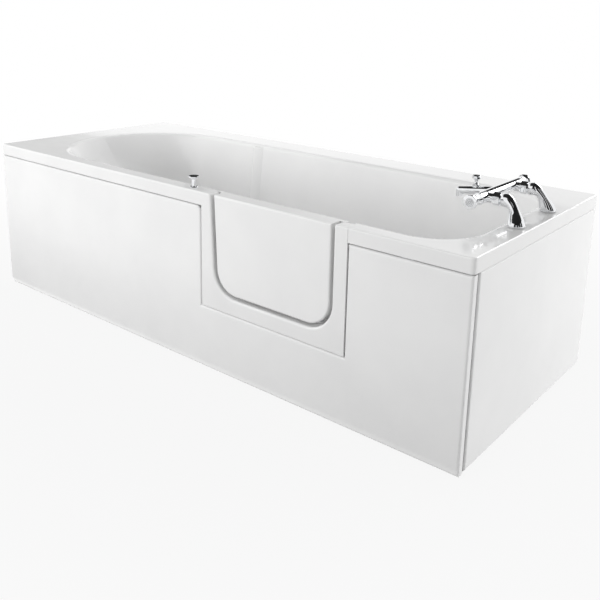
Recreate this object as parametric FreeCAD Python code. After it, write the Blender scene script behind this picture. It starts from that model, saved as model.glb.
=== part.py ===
import FreeCAD, Part
import math
import os

# Panelled walk-in bath with a side door, a rim lock, a deck mixer and a pop-up waste.
# Millimetres. +X points to the tap end, -Y is the panelled front, +Z is up, floor at zero.

# Overall sizes
bath_length = 1700.0
bath_width = 700.0
rim_height = 480.0

# Bath shell
shell_wall = 6.0
lip_height = 34.0
lip_corner_round = 10.0
lip_edge_round = 4.0
rim_front = 52.0
rim_back = 110.0
rim_tap_end = 68.0
rim_head_end = 114.0
rim_inner_round = 14.0
basin_depth = 370.0
front_wall_lean = 40.0
back_wall_lean = 40.0
tap_wall_lean = 56.0
backrest_lean = 290.0
head_round_rim = 290.0
head_round_floor = 90.0
head_squareness = 0.78
tap_corner_rim = 120.0
tap_corner_floor = 90.0
floor_round = 45.0
floor_round_per_bend = 2.14
back_rib_radius = 8.0
back_rib_fade_radius = 100.0
back_rib_proud = 6.0
back_rib_from_head = 590.0
back_rib_below_rim = 16.0
hole_overrun = 1.0

# Door opening and its moulded surround
door_from_tap_end = 337.0
door_width = 386.0
door_lock_side_lean = 14.0
door_corner_round = 74.0
sill_height = 218.0
surround_lock_side = 32.0
surround_hinge_side = 37.0
surround_below = 40.0
surround_edge_round = 6.0
surround_line_deep = 1.0
jamb_depth = 32.0
hinge_recess = 32.0
hinge_backing = 25.0

# Door
door_set_back = 2.5
door_gap = 9.0
door_skin = 4.0
leaf_overlap = 8.0
leaf_clearance = 5.0
leaf_thickness = 10.0
door_top_drop = 1.0
door_edge_round = 5.0
seal_thickness = 3.7
seal_clearance = 0.3
seal_inset = 1.0

# Door hinges
hinge_axis_out = 19.0
hinge_axis_depth = 2.0
hinge_tall = 44.0
hinge_from_rim = 24.0
hinge_from_sill = 86.0
knuckle_radius = 6.0
knuckle_tall = 14.0
knuckle_clearance = 0.3
hinge_plate = 3.0
hinge_leaf_wide = 36.0
hinge_jamb_leaf_wide = 22.0
hinge_pin_radius = 3.0
running_clearance = 0.05

# Door lock
lock_from_opening = 85.0
lock_from_front = 25.0
lock_travel = 18.0
lock_knob_radius = 14.0
lock_knob_tall = 30.0
lock_knob_head = 3.5
lock_knob_flare = 5.0
lock_knob_edge = 1.0
lock_stem_radius = 6.0
lock_stem_below = 14.0
lock_collar_radius = 11.0
lock_collar_tall = 2.5
lock_sleeve_wall = 2.5
lock_sleeve_below = 6.0
sliding_clearance = 0.3
lock_rod_radius = 4.5
lock_blade = 4.0
lock_blade_wide = 16.0
lock_pin_radius = 3.0
bolt_drop = 130.0
bolt_thickness = 7.0
bolt_tall = 20.0
bolt_body_tall = 34.0
bolt_body_long = 40.0
bolt_set_in = 1.5
bolt_pocket_depth = 6.0
bolt_pocket_room = 1.0
lock_foot_tall = 8.0
lock_case_wall = 2.5
lock_case_room = 1.0
lock_lug_thick = 3.0
lock_lug_tall = 13.0
strike_plate = 1.5
strike_margin_y = 4.0
strike_margin_z = 6.0

# Panels
panel_sheet = 4.0
panel_depth = 18.0
panel_set_back = 1.0
panel_floor_gap = 3.0
panel_lip_gap = 3.0
end_panel_lip_gap = 0.6
panel_joint = 10.0
panel_foot_round = 22.0
notch_gap_lock_side = 5.0
notch_gap_hinge_side = 1.5
notch_gap_below = 3.0
notch_corner_round = 16.0
panel_edge_round = 6.0
clip_steel = 1.5
clip_wide = 30.0
clip_reach_down = 14.0
clip_reach_up = 24.0
clip_from_end = 150.0
stay_steel = 3.0
stay_wide = 30.0
joint_strip_deep = 26.0
joint_strip_thick = 3.0

# Base board, leg channels and feet
board_thick = 18.0
board_from_floor_edge = 6.0
board_short_of_waste = 46.0
channel_wide = 40.0
channel_tall = 25.0
channel_steel = 2.0
channel_front_space = 65.0
channel_back_space = 120.0
channel_inset = 30.0
foot_inset = 16.0
stud_radius = 5.0
stud_above_nut = 6.0
nut_flats = 17.0
nut_thick = 8.0
foot_radius = 22.0
foot_thick = 10.0
foot_socket = 5.0
channel_screw_radius = 2.5
channel_screw_long = 14.0

# Brackets that hold the back rim to a wall
bracket_wide = 60.0
bracket_steel = 3.0
bracket_below_lip = 50.0
bracket_hole_radius = 3.0
bracket_hole_apart = 36.0
bracket_hole_below_lip = 30.0
bracket_from_end = 300.0

# Deck mixer
leg_from_edge = 33.0
leg_centres = 180.0
union_centres = 150.0
bar_above_deck = 51.0
bar_radius = 14.0
bar_long = 210.0
boss_radius = 12.0
boss_bore = 7.0
boss_long = 10.0
union_flats = 27.0
union_long = 16.0
leg_top_radius = 10.5
leg_knee_radius = 13.5
leg_shin_radius = 17.0
leg_base_radius = 19.5
leg_reach = 39.0
leg_bend = 24.0
leg_lean = 8.0
leg_tip = 10.0
leg_base_plinth = 3.0
deck_gasket = 2.0
tail_radius = 13.2
tail_bore = 9.0
tail_below_deck = 46.0
tail_shank_radius = 14.0
tail_hole_clearance = 1.0
backnut_flats = 36.0
backnut_thick = 9.0
backnut_flange = 3.0
valve_bore = 10.5
valve_deep = 44.0
valve_nose = 6.0
valve_nose_radius = 9.0
spindle_radius = 5.0
spindle_in_valve = 30.0
handle_gap = 0.4
handle_long = 42.0
handle_waist_from_base = 15.0
handle_skirt_radius = 13.5
handle_neck_radius = 11.5
handle_disc_radius = 16.5
handle_disc_thick = 5.0
index_radius = 10.0
index_thick = 2.0
spout_root_radius = 11.0
spout_tip_radius = 9.5
nozzle_radius = 9.0
spout_reach = 108.0
spout_droop = 14.0
spout_wall = 3.0
nozzle_drop = 15.0
aerator_thick = 5.0
diverter_reach = 58.0
diverter_bush_radius = 8.5
diverter_bush_above_axis = 4.0
diverter_stem_radius = 3.0
diverter_head_radius = 10.0
diverter_waist_radius = 4.0
diverter_foot_radius = 7.0
diverter_foot_tall = 2.5
diverter_waist_from_foot = 5.0
diverter_rim_tall = 7.0
diverter_edge = 1.0
diverter_knob_tall = 24.0
diverter_travel = 9.0
hose_outlet_radius = 10.5
hose_outlet_long = 14.0
hose_outlet_bore = 7.0
hose_collar_radius = 12.5
hose_collar_long = 2.0

# Pop-up waste, overflow and the cable between them
waste_from_tap_wall = 90.0
waste_hole_radius = 26.0
waste_flange_radius = 35.0
waste_flange_thick = 2.0
waste_throat_radius = 20.0
waste_sleeve_clearance = 0.5
waste_seal_thick = 4.0
waste_body_radius = 34.0
waste_body_wall = 5.0
waste_body_tall = 40.0
waste_tail_radius = 23.9
waste_tail_bore = 19.0
waste_tail_long = 28.0
waste_bridge = 8.0
waste_bush_radius = 8.0
plug_radius = 24.0
plug_thick = 4.0
plug_stem_radius = 4.0
plug_stem_spare = 4.0
plug_lift = 10.0
overflow_below_rim = 90.0
overflow_hole_radius = 22.0
overflow_face_radius = 36.0
overflow_face_thick = 4.0
overflow_bore = 16.0
overflow_knob_radius = 30.0
overflow_knob_thick = 12.0
overflow_slit = 4.0
overflow_seal_thick = 2.0
overflow_elbow_radius = 26.0
overflow_elbow_long = 44.0
overflow_flange_thick = 4.0
pipe_radius = 15.0
pipe_bore = 12.0
pipe_socket_wall = 2.5
pipe_bend = 50.0
pipe_socket_long = 25.0
cable_radius = 2.5
cable_beside_pipe = 21.0
cable_nipple_radius = 5.0

# Screws
screw_radius = 2.0
screw_head_radius = 3.6
screw_head_thick = 2.0
screw_long = 11.0

os.makedirs("parts", exist_ok=True)

# Planes and places that several pieces share
tap_x = bath_length / 2
head_x = -tap_x
back_y = bath_width / 2
front_y = -back_y
rim_under = rim_height - shell_wall
lip_bottom = rim_height - lip_height
floor_top = rim_height - basin_depth
floor_under = floor_top - shell_wall
basin_front = front_y + rim_front
basin_back = back_y - rim_back
basin_tap = tap_x - rim_tap_end
basin_head = head_x + rim_head_end
basin_middle = (basin_front + basin_back) / 2
open_right = tap_x - door_from_tap_end
open_left = open_right - door_width
seat_y = front_y + jamb_depth
leaf_y = seat_y + seal_clearance + seal_thickness
leaf_back_y = leaf_y + leaf_thickness
door_face_y = front_y + door_set_back
door_top = rim_height - door_top_drop
panel_y = front_y + panel_set_back
panel_back_y = panel_y + panel_depth
panel_x = tap_x - panel_set_back
panel_top = lip_bottom - panel_lip_gap
end_panel_top = lip_bottom - end_panel_lip_gap
lock_sleeve_radius = lock_stem_radius + sliding_clearance + lock_sleeve_wall
overshoot = 60.0
tolerance = 0.01


def vec(x, y, z):
    return FreeCAD.Vector(x, y, z)


def box(x0, x1, y0, y1, z0, z1):
    return Part.makeBox(x1 - x0, y1 - y0, z1 - z0, vec(x0, y0, z0))


def rod_x(radius, x0, x1, y, z):
    return Part.makeCylinder(radius, x1 - x0, vec(x0, y, z), vec(1, 0, 0))


def rod_y(radius, y0, y1, x, z):
    return Part.makeCylinder(radius, y1 - y0, vec(x, y0, z), vec(0, 1, 0))


def rod_z(radius, z0, z1, x, y):
    return Part.makeCylinder(radius, z1 - z0, vec(x, y, z0), vec(0, 0, 1))


def joined(shapes):
    """One solid from shapes that overlap or share faces."""
    first = shapes[0]
    return first.multiFuse(shapes[1:]).removeSplitter()


def group(shapes):
    """Several separate solids of one kind."""
    return Part.makeCompound(shapes)


def turned(profile, base, axis):
    """Solid of revolution: profile is (radius, height) points, height along axis from base."""
    points = [vec(radius, 0, height) for radius, height in profile]
    points.append(points[0])
    return revolved([Part.makePolygon(points)], base, axis)


def flare(profile):
    """Smooth edge through (radius, height) points of a turned piece."""
    curve = Part.BSplineCurve()
    curve.interpolate([vec(radius, 0, height) for radius, height in profile])
    return curve.toShape()


def revolved(edges, base, axis):
    """Solid of revolution from the closed run of edges of its half section."""
    solid = Part.Face(Part.Wire(edges)).revolve(vec(0, 0, 0), vec(0, 0, 1), 360)
    solid.Placement = FreeCAD.Placement(base, FreeCAD.Rotation(vec(0, 0, 1), axis))
    return solid


def hexagon(flats, base, axis, thick):
    """Hexagonal prism across flats, from base along axis."""
    corner = flats / math.sqrt(3)
    points = []
    for i in range(7):
        angle = math.radians(60 * i)
        points.append(vec(corner * math.cos(angle), corner * math.sin(angle), 0))
    solid = Part.Face(Part.makePolygon(points)).extrude(vec(0, 0, thick))
    solid.Placement = FreeCAD.Placement(base, FreeCAD.Rotation(vec(0, 0, 1), axis))
    return solid


def screw(base, axis):
    """Pan head screw whose head stands on base, with its shank running along axis."""
    back = vec(axis.x, axis.y, axis.z) * -screw_head_thick
    head = Part.makeCylinder(screw_head_radius, screw_head_thick, base + back, axis)
    shank = Part.makeCylinder(screw_radius, screw_long, base, axis)
    return joined([head, shank])


def rounded(solid, radius, wanted):
    """Fillet on the edges that wanted picks."""
    return solid.makeFillet(radius, [edge for edge in solid.Edges if wanted(edge)])


def save(name, shape):
    shape.exportStep("parts/" + name + ".step")


# Bath shell: basin outline at one height, straight sides, round tap corners, rounded head end


def basin_outline(z, head, tap, front, back, head_round, tap_corner):
    middle = (front + back) / 2
    start = head + head_round
    bend = tap_corner * (1 - math.sqrt(0.5))
    edges = [
        Part.makeLine(vec(start, front, z), vec(tap - tap_corner, front, z)),
        Part.Arc(
            vec(tap - tap_corner, front, z),
            vec(tap - bend, front + bend, z),
            vec(tap, front + tap_corner, z),
        ).toShape(),
        Part.makeLine(vec(tap, front + tap_corner, z), vec(tap, back - tap_corner, z)),
        Part.Arc(
            vec(tap, back - tap_corner, z),
            vec(tap - bend, back - bend, z),
            vec(tap - tap_corner, back, z),
        ).toShape(),
        Part.makeLine(vec(tap - tap_corner, back, z), vec(start, back, z)),
    ]
    back_curve = [(start, back), (head, back), (head, middle)]
    front_curve = [(head, middle), (head, front), (start, front)]
    for ends in (back_curve, front_curve):
        curve = Part.BezierCurve()
        curve.setPoles([vec(x, y, z) for x, y in ends])
        curve.setWeight(2, head_squareness)
        edges.append(curve.toShape())
    return Part.Wire(edges)


def basin_solid(wall):
    """Basin filled in, grown outwards by wall on its sides and floor."""

    def out(lean):
        return wall * math.sqrt(1 + (lean / basin_depth) ** 2)

    def foot(lean):
        return lean * (1 + wall / basin_depth) - out(lean)

    rim = basin_outline(
        rim_height,
        basin_head - out(backrest_lean),
        basin_tap + out(tap_wall_lean),
        basin_front - out(front_wall_lean),
        basin_back + out(back_wall_lean),
        head_round_rim + wall,
        tap_corner_rim + wall,
    )
    floor = basin_outline(
        floor_top - wall,
        basin_head + foot(backrest_lean),
        basin_tap - foot(tap_wall_lean),
        basin_front + foot(front_wall_lean),
        basin_back - foot(back_wall_lean),
        head_round_floor + wall,
        tap_corner_floor + wall,
    )
    solid = Part.makeLoft([floor, rim], True, True)
    top_of_floor_edge = floor_top - wall + tolerance
    tightest_bend = (head_squareness * (head_round_floor + wall)) ** 2 / (floor.BoundBox.YLength / 2)
    floor_edge_round = min(floor_round + wall, floor_round_per_bend * tightest_bend)
    return rounded(solid, floor_edge_round, lambda edge: edge.BoundBox.ZMax < top_of_floor_edge)


def lock_side_edge(z):
    """Place of the door opening's leaning edge at one height."""
    return open_left + door_lock_side_lean * (rim_height - z) / (rim_height - sill_height)


def door_prism(lock_side, hinge_side, below, y0, y1, top):
    """Door outline grown by the three margins, from y0 to y1, with both lower corners round."""
    bottom = sill_height - below
    points = [
        vec(lock_side_edge(top) - lock_side, y0, top),
        vec(lock_side_edge(bottom) - lock_side, y0, bottom),
        vec(open_right + hinge_side, y0, bottom),
        vec(open_right + hinge_side, y0, top),
        vec(lock_side_edge(top) - lock_side, y0, top),
    ]
    solid = Part.Face(Part.makePolygon(points)).extrude(vec(0, y1 - y0, 0))

    def lower_corner(edge):
        return edge.BoundBox.YLength > (y1 - y0) / 2 and edge.BoundBox.ZMax < bottom + tolerance

    return rounded(solid, door_corner_round + below, lower_corner)


# Lock places, used by the shell, the door and the lock itself
lock_x = open_left - lock_from_opening
lock_y = front_y + lock_from_front
bolt_z = rim_height - bolt_drop
bolt_y0 = lock_y - bolt_thickness / 2
bolt_y1 = lock_y + bolt_thickness / 2
bolt_end = lock_side_edge(bolt_z) - bolt_set_in
jamb_x = open_left - surround_lock_side
case_y1 = bolt_y1 + lock_case_room
case_back_y = case_y1 + lock_case_wall
neck_y = panel_back_y + panel_set_back
neck_tall = bolt_tall / 2 + 2 * lock_case_wall
lug_tall = neck_tall + lock_lug_tall


def bolt_slot(x0, x1, room):
    """Passage for the bolt's nose with room on every side."""
    return box(
        x0, x1, bolt_y0 - room, bolt_y1 + room, bolt_z - bolt_tall / 2 - room, bolt_z + bolt_tall / 2 + room
    )


def lock_screws():
    """Two screws through the lock case's lugs, running into the jamb along +X."""
    level = lug_tall - lock_lug_tall / 2
    y = (neck_y + case_back_y) / 2
    return [screw(vec(jamb_x - lock_lug_thick, y, z), vec(1, 0, 0)) for z in (bolt_z - level, bolt_z + level)]


# Mixer places
leg_x = tap_x - leg_from_edge
leg_places = (-leg_centres / 2, leg_centres / 2)
union_places = (-union_centres / 2, union_centres / 2)
bar_x = leg_x - leg_lean - leg_reach - union_long - boss_long - bar_radius
bar_z = rim_height + bar_above_deck
bar_end = bar_long / 2

# Waste and overflow places: the overflow axis is square to the leaning tap wall
waste_x = basin_tap - tap_wall_lean - waste_from_tap_wall
waste_y = basin_middle
overflow_z = rim_height - overflow_below_rim
overflow_x = basin_tap - tap_wall_lean * overflow_below_rim / basin_depth
overflow_lean = math.atan2(tap_wall_lean, basin_depth)
overflow_axis = vec(-math.cos(overflow_lean), 0, math.sin(overflow_lean))
overflow_centre = vec(overflow_x, waste_y, overflow_z)


def along_overflow(radius, start, end):
    """Round bar on the overflow axis, distances counted from the wall's wet face into the basin."""
    base = overflow_centre + overflow_axis * start
    return Part.makeCylinder(radius, end - start, base, overflow_axis)


# Hinge places
hinge_x = open_right + hinge_axis_out
hinge_y = leaf_back_y - hinge_axis_depth
jamb_leaf_x = open_right + hinge_recess
hinge_bottoms = {
    "lower": sill_height + hinge_from_sill,
    "upper": rim_height - hinge_from_rim - hinge_tall,
}


def hinge_jamb_screws(bottom):
    """Two screws that hold one jamb leaf, running into the jamb along +X."""
    y = seat_y + hinge_jamb_leaf_wide - screw_head_radius
    levels = (bottom + screw_head_radius, bottom + hinge_tall - screw_head_radius)
    return [screw(vec(jamb_leaf_x - hinge_plate, y, z), vec(1, 0, 0)) for z in levels]


def hinge_door_screws(bottom):
    """Two screws that hold one door leaf, running into the door's inner leaf along -Y."""
    x = hinge_x - knuckle_radius - hinge_leaf_wide / 2
    levels = (bottom + screw_head_radius * 2, bottom + hinge_tall - screw_head_radius * 2)
    return [screw(vec(x, leaf_back_y + hinge_plate, z), vec(0, -1, 0)) for z in levels]


# Bath shell


def bath_shell():
    rim = box(head_x, tap_x, front_y, back_y, lip_bottom, rim_height)
    rim = rounded(rim, lip_corner_round, lambda edge: edge.BoundBox.ZLength > lip_height / 2)
    rim = rounded(rim, lip_edge_round, lambda edge: edge.BoundBox.ZMin > rim_height - tolerance)
    under_rim = box(
        head_x + shell_wall,
        tap_x - shell_wall,
        front_y + shell_wall,
        back_y - shell_wall,
        lip_bottom,
        rim_under,
    )
    rim = rim.cut(under_rim)
    surround = box(
        jamb_x,
        open_right + surround_hinge_side,
        front_y,
        seat_y,
        sill_height - surround_below,
        rim_under,
    )
    jamb = box(
        jamb_x,
        jamb_leaf_x + hinge_backing,
        neck_y,
        basin_front + front_wall_lean,
        sill_height - surround_below,
        rim_under,
    )
    shell = joined([rim, basin_solid(shell_wall), surround, jamb])
    shell = shell.cut(basin_solid(0.0))
    recess = door_prism(
        leaf_overlap + leaf_clearance,
        hinge_recess,
        leaf_overlap + leaf_clearance,
        seat_y,
        basin_middle,
        rim_height + overshoot,
    )
    opening = door_prism(0.0, 0.0, 0.0, front_y - overshoot, basin_middle, rim_height + overshoot)
    swing_room = box(
        open_right - door_corner_round,
        jamb_leaf_x,
        leaf_back_y,
        basin_middle,
        sill_height - leaf_overlap - leaf_clearance,
        rim_height,
    )
    shell = shell.cut([recess, opening, swing_room])

    def rim_roll(edge):
        bounds = edge.BoundBox
        along = bounds.XMax < basin_tap + tolerance and bounds.XMin > basin_head - tolerance
        across = bounds.YMin > basin_front - tolerance and bounds.YMax < basin_back + tolerance
        return along and across and bounds.ZMin > rim_height - tolerance

    def opening_edge(edge):
        bounds = edge.BoundBox
        on_front = bounds.YMax < front_y + tolerance and bounds.ZMin > sill_height - tolerance
        return on_front and bounds.XMin > open_left - tolerance and bounds.XMax < open_right + tolerance

    shell = rounded(shell, rim_inner_round, rim_roll)
    shell = rounded(shell, surround_edge_round, opening_edge)
    rib_x = head_x + back_rib_from_head
    rib_run = vec(0, back_wall_lean, basin_depth)
    rib_foot = vec(rib_x, basin_back - back_rib_proud, rim_height) - rib_run
    rib_start = rib_foot + rib_run * (floor_round / basin_depth)
    rib_long = rib_run.Length * (1 - (floor_round + back_rib_below_rim) / basin_depth)

    def rib_bar(radius):
        """Round bar whose crest stands proud of the back wall."""
        return Part.makeCylinder(radius, rib_long, rib_start + vec(0, radius, 0), rib_run)

    fade_side = box(rib_x, rib_x + back_rib_fade_radius, basin_middle, back_y, floor_top, rim_height)
    rib = joined([rib_bar(back_rib_radius), rib_bar(back_rib_fade_radius).common(fade_side)])
    shell = joined([shell, rib.common(basin_solid(shell_wall))])
    line_x = open_right + surround_hinge_side
    surround_line = box(
        line_x,
        line_x + notch_gap_hinge_side,
        front_y,
        front_y + surround_line_deep,
        lip_bottom,
        rim_height,
    )
    shell = shell.cut(surround_line)
    low = rim_under - hole_overrun
    high = rim_height + hole_overrun
    holes = [rod_z(lock_sleeve_radius, low, high, lock_x, lock_y)]
    for y in leg_places:
        holes.append(rod_z(tail_shank_radius + tail_hole_clearance, low, high, leg_x, y))
    holes.append(bolt_slot(jamb_x - hole_overrun, open_right, sliding_clearance))
    floor_low = floor_under - hole_overrun
    holes.append(rod_z(waste_hole_radius, floor_low, floor_top + hole_overrun, waste_x, waste_y))
    holes.append(along_overflow(overflow_hole_radius, -shell_wall - hole_overrun, hole_overrun))
    for bottom in hinge_bottoms.values():
        holes.extend(hinge_jamb_screws(bottom))
    return shell.cut(holes + lock_screws())


save("bath_shell", bath_shell())

# Door: outer tray, foam in three blocks with room for the bolt between them, inner leaf, rubber seal, strike
strike_x = lock_side_edge(bolt_z) + door_gap + strike_plate
strike_box = box(
    strike_x - strike_plate,
    strike_x,
    bolt_y0 - strike_margin_y,
    bolt_y1 + strike_margin_y,
    bolt_z - bolt_tall / 2 - strike_margin_z,
    bolt_z + bolt_tall / 2 + strike_margin_z,
)
strike_recess = box(
    strike_x - strike_plate - door_lock_side_lean,
    strike_x,
    bolt_y0 - strike_margin_y,
    bolt_y1 + strike_margin_y,
    bolt_z - bolt_tall / 2 - strike_margin_z,
    bolt_z + bolt_tall / 2 + strike_margin_z,
)
bolt_pocket = bolt_slot(
    strike_x - strike_plate - door_lock_side_lean,
    bolt_end + lock_travel + bolt_pocket_depth,
    bolt_pocket_room,
)


def door_plug(inset, y0, top):
    margin = -door_gap - inset
    return door_prism(margin, margin, margin, y0, leaf_y, top)


door_outside = rounded(
    door_plug(0.0, door_face_y, door_top),
    door_edge_round,
    lambda edge: edge.BoundBox.YMax < door_face_y + tolerance,
)
door_inside = door_plug(door_skin, door_face_y + door_skin, door_top - door_skin)
save("door_tray", door_outside.cut(door_inside).cut(strike_recess).cut(bolt_pocket))
pocket_bounds = bolt_pocket.BoundBox
foam_left = door_inside.BoundBox.XMin
foam_blocks = [
    box(pocket_bounds.XMax, open_right, door_face_y, leaf_y, 0, door_top),
    box(foam_left, pocket_bounds.XMax, door_face_y, leaf_y, 0, pocket_bounds.ZMin),
    box(foam_left, pocket_bounds.XMax, door_face_y, leaf_y, pocket_bounds.ZMax, door_top),
]
save("door_core", group([door_inside.common(block) for block in foam_blocks]))
save("door_strike", strike_box.cut(bolt_pocket))

door_leaf = door_prism(leaf_overlap, leaf_overlap, leaf_overlap, leaf_y, leaf_back_y, door_top)
door_leaf_screws = hinge_door_screws(hinge_bottoms["lower"]) + hinge_door_screws(hinge_bottoms["upper"])
save("door_leaf", door_leaf.cut(group(door_leaf_screws)))
save("hinge_door_screws", group(door_leaf_screws))

seal_edge = leaf_overlap - seal_inset
seal_outside = door_prism(seal_edge, seal_edge, seal_edge, leaf_y - seal_thickness, leaf_y, door_top)
seal_top = door_top + overshoot
seal_inside = door_prism(seal_inset, seal_inset, seal_inset, leaf_y - seal_thickness, leaf_y, seal_top)
save("door_seal", seal_outside.cut(seal_inside))

# Hinges: a jamb leaf with two knuckles, a door leaf with one between them, and a pin
hinge_pins = []
jamb_screws = []
for place, bottom in hinge_bottoms.items():
    top = bottom + hinge_tall
    plate_x = jamb_leaf_x - hinge_plate
    jamb_pieces = [box(plate_x, jamb_leaf_x, seat_y, seat_y + hinge_jamb_leaf_wide, bottom, top)]
    for low in (bottom, top - knuckle_tall):
        high = low + knuckle_tall
        jamb_pieces.append(rod_z(knuckle_radius, low, high, hinge_x, hinge_y))
        jamb_pieces.append(box(hinge_x, plate_x, hinge_y - hinge_plate, hinge_y + hinge_plate, low, high))
    screws = hinge_jamb_screws(bottom)
    jamb_screws.extend(screws)
    pin_hole = rod_z(hinge_pin_radius, bottom, top, hinge_x, hinge_y)
    save("hinge_jamb_leaf_" + place, joined(jamb_pieces).cut(group(screws)).cut(pin_hole))

    low = bottom + knuckle_tall + knuckle_clearance
    high = top - knuckle_tall - knuckle_clearance
    plate_end = hinge_x - knuckle_radius
    leaf_front = leaf_back_y + hinge_plate
    door_pieces = [
        box(plate_end - hinge_leaf_wide, plate_end - hinge_plate, leaf_back_y, leaf_front, bottom, top),
        box(plate_end - hinge_leaf_wide, hinge_x, leaf_back_y, leaf_front, low, high),
        rod_z(knuckle_radius, low, high, hinge_x, hinge_y),
    ]
    running_hole = rod_z(hinge_pin_radius + running_clearance, bottom, top, hinge_x, hinge_y)
    door_half = joined(door_pieces).cut(running_hole).cut(group(hinge_door_screws(bottom)))
    save("hinge_door_leaf_" + place, door_half)

    pin = rod_z(hinge_pin_radius, bottom, top, hinge_x, hinge_y)
    pin_head = rod_z(hinge_pin_radius + hinge_plate / 2, top, top + hinge_plate / 2, hinge_x, hinge_y)
    hinge_pins.append(joined([pin, pin_head]))
save("hinge_pins", group(hinge_pins))

# Lock: knob and collar on the rim, rod with a cross pin, bolt with a slanted slot, case on the jamb
lock_stem_foot = rim_height - lock_stem_below
knob_neck = lock_knob_tall - lock_knob_head - lock_knob_flare
knob_profile = [
    (0, -lock_stem_below),
    (lock_stem_radius, -lock_stem_below),
    (lock_stem_radius, knob_neck),
    (lock_knob_radius, lock_knob_tall - lock_knob_head),
    (lock_knob_radius, lock_knob_tall - lock_knob_edge),
    (lock_knob_radius - lock_knob_edge, lock_knob_tall),
    (0, lock_knob_tall),
]
save("lock_knob", turned(knob_profile, vec(lock_x, lock_y, rim_height), vec(0, 0, 1)))

collar_bore = lock_stem_radius + sliding_clearance
collar_foot = -shell_wall - lock_sleeve_below
collar_profile = [
    (collar_bore, collar_foot),
    (lock_sleeve_radius, collar_foot),
    (lock_sleeve_radius, 0),
    (lock_collar_radius, 0),
    (lock_collar_radius, lock_collar_tall / 2),
    (lock_collar_radius - lock_collar_tall / 2, lock_collar_tall),
    (collar_bore, lock_collar_tall),
]
save("lock_collar", turned(collar_profile, vec(lock_x, lock_y, rim_height), vec(0, 0, 1)))

pin_rest_z = bolt_z + lock_travel / 2
blade_back_y = bolt_y0 - lock_case_room
blade_front_y = blade_back_y - lock_blade
foot_z0 = bolt_z + bolt_body_tall / 2 + lock_travel + lock_case_room
foot_z1 = foot_z0 + lock_foot_tall
blade_x0 = lock_x - lock_blade_wide / 2
blade_x1 = lock_x + lock_blade_wide / 2
lock_rod = joined(
    [
        rod_z(lock_rod_radius, foot_z0, lock_stem_foot, lock_x, lock_y),
        box(blade_x0, blade_x1, blade_front_y, lock_y + lock_rod_radius, foot_z0, foot_z1),
        box(blade_x0, blade_x1, blade_front_y, blade_back_y, pin_rest_z - lock_blade_wide / 2, foot_z1),
        rod_y(lock_pin_radius, blade_front_y, bolt_y1, lock_x, pin_rest_z),
    ]
)
save("lock_rod", lock_rod)

bolt_middle = lock_x - lock_travel / 2
bolt_back = bolt_middle - bolt_body_long / 2
bolt_shoulder = bolt_middle + bolt_body_long / 2
slot_radius = lock_pin_radius + sliding_clearance
slot_ends = [(lock_x, pin_rest_z), (lock_x - lock_travel, pin_rest_z - lock_travel)]
slot_across = slot_radius / math.sqrt(2)
slot_points = [
    vec(slot_ends[0][0] - slot_across, bolt_y0, slot_ends[0][1] + slot_across),
    vec(slot_ends[0][0] + slot_across, bolt_y0, slot_ends[0][1] - slot_across),
    vec(slot_ends[1][0] + slot_across, bolt_y0, slot_ends[1][1] - slot_across),
    vec(slot_ends[1][0] - slot_across, bolt_y0, slot_ends[1][1] + slot_across),
    vec(slot_ends[0][0] - slot_across, bolt_y0, slot_ends[0][1] + slot_across),
]
slot_middle = Part.Face(Part.makePolygon(slot_points)).extrude(vec(0, bolt_thickness, 0))
slot_rounds = [rod_y(slot_radius, bolt_y0, bolt_y1, x, z) for x, z in slot_ends]
bolt_slanted_slot = joined([slot_middle] + slot_rounds)
bolt_body = box(
    bolt_back, bolt_shoulder, bolt_y0, bolt_y1, bolt_z - bolt_body_tall / 2, bolt_z + bolt_body_tall / 2
)
save("lock_bolt", joined([bolt_body, bolt_slot(bolt_shoulder, bolt_end, 0.0)]).cut(bolt_slanted_slot))

case_x0 = bolt_back - lock_case_room
case_x1 = bolt_shoulder + lock_travel + lock_case_room
case_y0 = blade_front_y - lock_case_room
case_z0 = bolt_z - bolt_body_tall / 2 - lock_case_room
case_z1 = foot_z1 + lock_case_room
case_outside = joined(
    [
        box(
            case_x0 - lock_case_wall,
            case_x1 + lock_case_wall,
            case_y0 - lock_case_wall,
            case_back_y,
            case_z0 - lock_case_wall,
            case_z1 + lock_case_wall,
        ),
        box(case_x1, jamb_x, neck_y, case_back_y, bolt_z - neck_tall, bolt_z + neck_tall),
        box(jamb_x - lock_lug_thick, jamb_x, neck_y, case_back_y, bolt_z - lug_tall, bolt_z + lug_tall),
    ]
)
case_inside = [
    box(case_x0, case_x1, case_y0, case_y1, case_z0, case_z1),
    bolt_slot(case_x0, jamb_x, sliding_clearance),
    rod_z(lock_rod_radius + sliding_clearance, case_z1, case_z1 + lock_case_wall, lock_x, lock_y),
]
save("lock_case", case_outside.cut(case_inside + lock_screws()))
save("jamb_screws", group(jamb_screws + lock_screws()))

# Front panel: a sheet with turned-in edges and a notch round the door surround


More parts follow.
